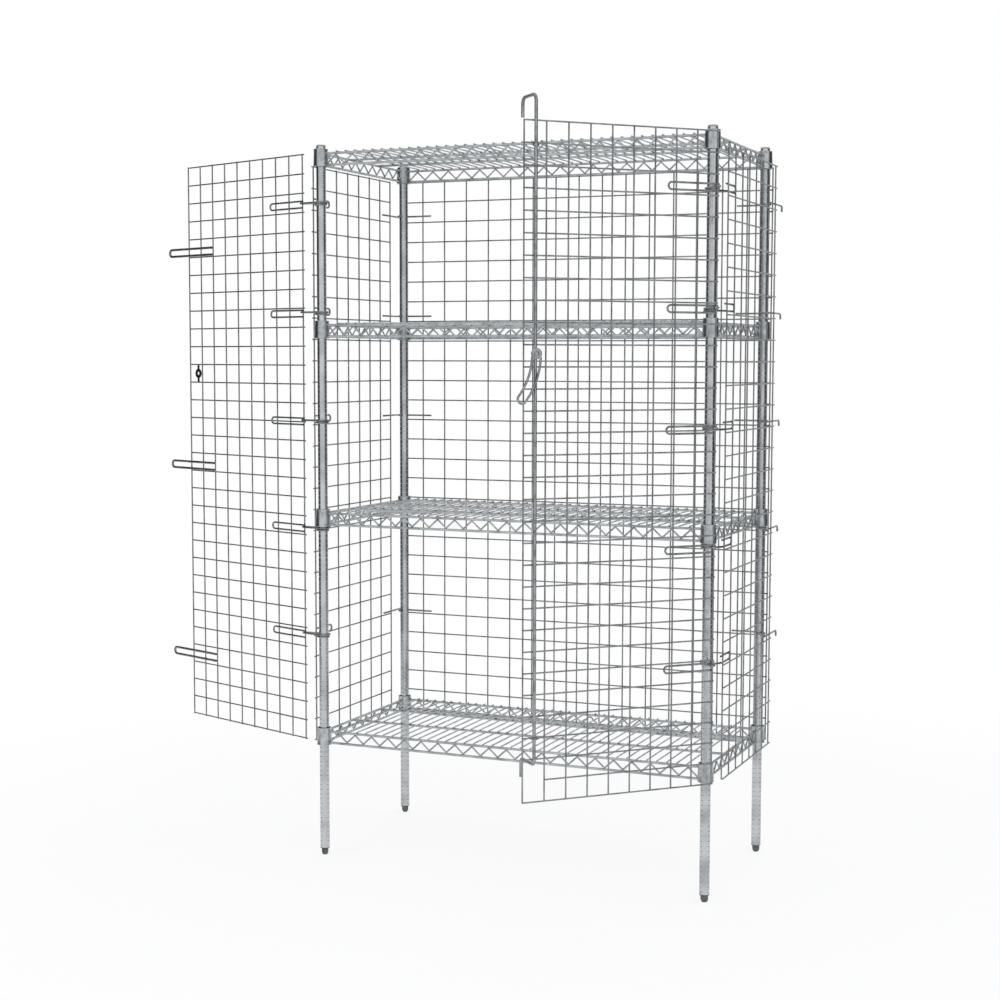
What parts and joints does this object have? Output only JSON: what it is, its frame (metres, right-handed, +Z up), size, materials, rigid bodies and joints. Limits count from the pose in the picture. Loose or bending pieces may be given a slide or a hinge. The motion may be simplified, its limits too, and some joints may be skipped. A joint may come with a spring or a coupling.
{
  "type": "security cage",
  "caption": "Lockable wire security cage: wire shelves on grooved posts, mesh sides and back, and mesh doors on loose wire links, locked by a sliding rod with hooked ends.",
  "frame": {"origin": "on the floor, midway between the four posts", "axes": "+X to the cage's right seen from the front, -Y to the front where the doors are, +Z up"},
  "size_m": [1.6983, 0.9925, 1.9207],
  "materials": {
    "post": "bright plated tube",
    "collar": "bright plated casting",
    "shelf_wire": "bright plated drawn wire",
    "mesh_wire": "bright plated welded wire",
    "hook_wire": "bright plated bent wire",
    "lock": "bright plated rod",
    "cap": "satin moulded",
    "sleeve": "satin moulded",
    "foot": "zinc plated"
  },
  "bodies": {
    "cage": {"back_hooks": "hook_wire", "back_panel": "mesh_wire", "foot_front_left": "foot", "foot_front_right": "foot", "foot_inserts": "foot", "foot_rear_left": "foot", "foot_rear_right": "foot", "post_caps": "cap", "post_front_left": "post", "post_front_right": "post", "post_rear_left": "post", "post_rear_right": "post", "shelf_bottom_collars": "collar", "shelf_bottom_deck": "shelf_wire", "shelf_bottom_edges": "shelf_wire", "shelf_bottom_sleeves": "sleeve", "shelf_bottom_trusses": "shelf_wire", "shelf_lower_collars": "collar", "shelf_lower_deck": "shelf_wire", "shelf_lower_edges": "shelf_wire", "shelf_lower_sleeves": "sleeve", "shelf_lower_trusses": "shelf_wire", "shelf_top_collars": "collar", "shelf_top_deck": "shelf_wire", "shelf_top_edges": "shelf_wire", "shelf_top_sleeves": "sleeve", "shelf_top_trusses": "shelf_wire", "shelf_upper_collars": "collar", "shelf_upper_deck": "shelf_wire", "shelf_upper_edges": "shelf_wire", "shelf_upper_sleeves": "sleeve", "shelf_upper_trusses": "shelf_wire", "side_hooks_left": "hook_wire", "side_hooks_right": "hook_wire", "side_panel_left": "mesh_wire", "side_panel_right": "mesh_wire", "side_tails_left": "hook_wire", "side_tails_right": "hook_wire"},
    "links_left": {"links_left": "hook_wire"},
    "door_left": {"door_left_mesh": "mesh_wire", "door_left_hairpins": "hook_wire", "door_left_loops": "hook_wire", "lock_lug": "lock"},
    "links_right": {"links_right": "hook_wire"},
    "door_right": {"door_right_mesh": "mesh_wire", "door_right_hairpins": "hook_wire", "rod_guides": "lock"},
    "locking_rod": {"locking_rod": "lock", "rod_stop": "lock", "handle_pin": "lock"},
    "lock_handle": {"lock_handle": "lock"}
  },
  "joints": [
    {"name": "left_link_swing", "type": "hinge", "parent": "cage", "child": "links_left", "pos_m": [-0.5275, -0.2435, 0], "axis": [0, 0, -1], "range_deg": [-122.4, 1.5]},
    {"name": "left_door_swing", "type": "hinge", "parent": "links_left", "child": "door_left", "pos_m": [-0.58535, -0.23948, 0], "axis": [0, 0, -1], "range_deg": [-78.2, 52]},
    {"name": "right_link_swing", "type": "hinge", "parent": "cage", "child": "links_right", "pos_m": [0.5275, -0.2435, 0], "axis": [0, 0, 1], "range_deg": [-40, 64]},
    {"name": "right_door_swing", "type": "hinge", "parent": "links_right", "child": "door_right", "pos_m": [0.55594, -0.29404, 0], "axis": [0, 0, 1], "range_deg": [-5.7, 134]},
    {"name": "rod_drop", "type": "slide", "parent": "door_right", "child": "locking_rod", "axis": [0, 0, -1], "range_m": [0, 0.04]},
    {"name": "handle_turn", "type": "hinge", "parent": "locking_rod", "child": "lock_handle", "pos_m": [0.23456, -0.63712, 1.3387], "axis": [0.7157, -0.6984, 0], "range_deg": [-41, 69]}
  ]
}
